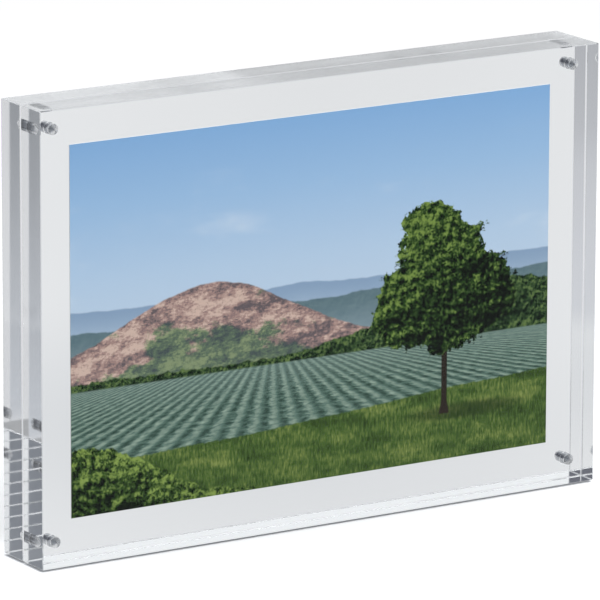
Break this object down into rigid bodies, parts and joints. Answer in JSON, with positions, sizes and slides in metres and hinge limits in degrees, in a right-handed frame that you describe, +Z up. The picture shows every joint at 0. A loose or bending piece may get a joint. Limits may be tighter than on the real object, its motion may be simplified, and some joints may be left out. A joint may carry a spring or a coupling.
{
  "type": "acrylic photo frame",
  "caption": "Free-standing photo frame of two clear acrylic blocks that magnets hold together face to face, with a print between them.",
  "frame": {"origin": "on the surface that the frame stands on, midway along it, on the parting plane between the two blocks", "axes": "+X to the viewer's right along the length, +Y from the front block to the rear block, +Z up"},
  "size_m": [0.174, 0.0204, 0.122],
  "materials": {
    "acrylic": "clear cast acrylic, polished on every face",
    "nickel": "bright nickel plate over sintered magnet",
    "print": "satin photo paper with a printed landscape, white on the back"
  },
  "bodies": {
    "rear": {"rear_block": "acrylic", "rear_magnet_top_left": "nickel", "rear_magnet_top_right": "nickel", "rear_magnet_bottom_left": "nickel", "rear_magnet_bottom_right": "nickel"},
    "front": {"front_block": "acrylic", "front_magnet_top_left": "nickel", "front_magnet_top_right": "nickel", "front_magnet_bottom_left": "nickel", "front_magnet_bottom_right": "nickel"},
    "print": {"photo_print": "print"}
  },
  "joints": [
    {"name": "front_block_pull", "type": "slide", "parent": "rear", "child": "front", "axis": [0, -1, 0], "range_m": [0, 0.06]},
    {"name": "print_lift", "type": "slide", "parent": "rear", "child": "print", "axis": [0, 0, 1], "range_m": [0, 0.115]}
  ]
}
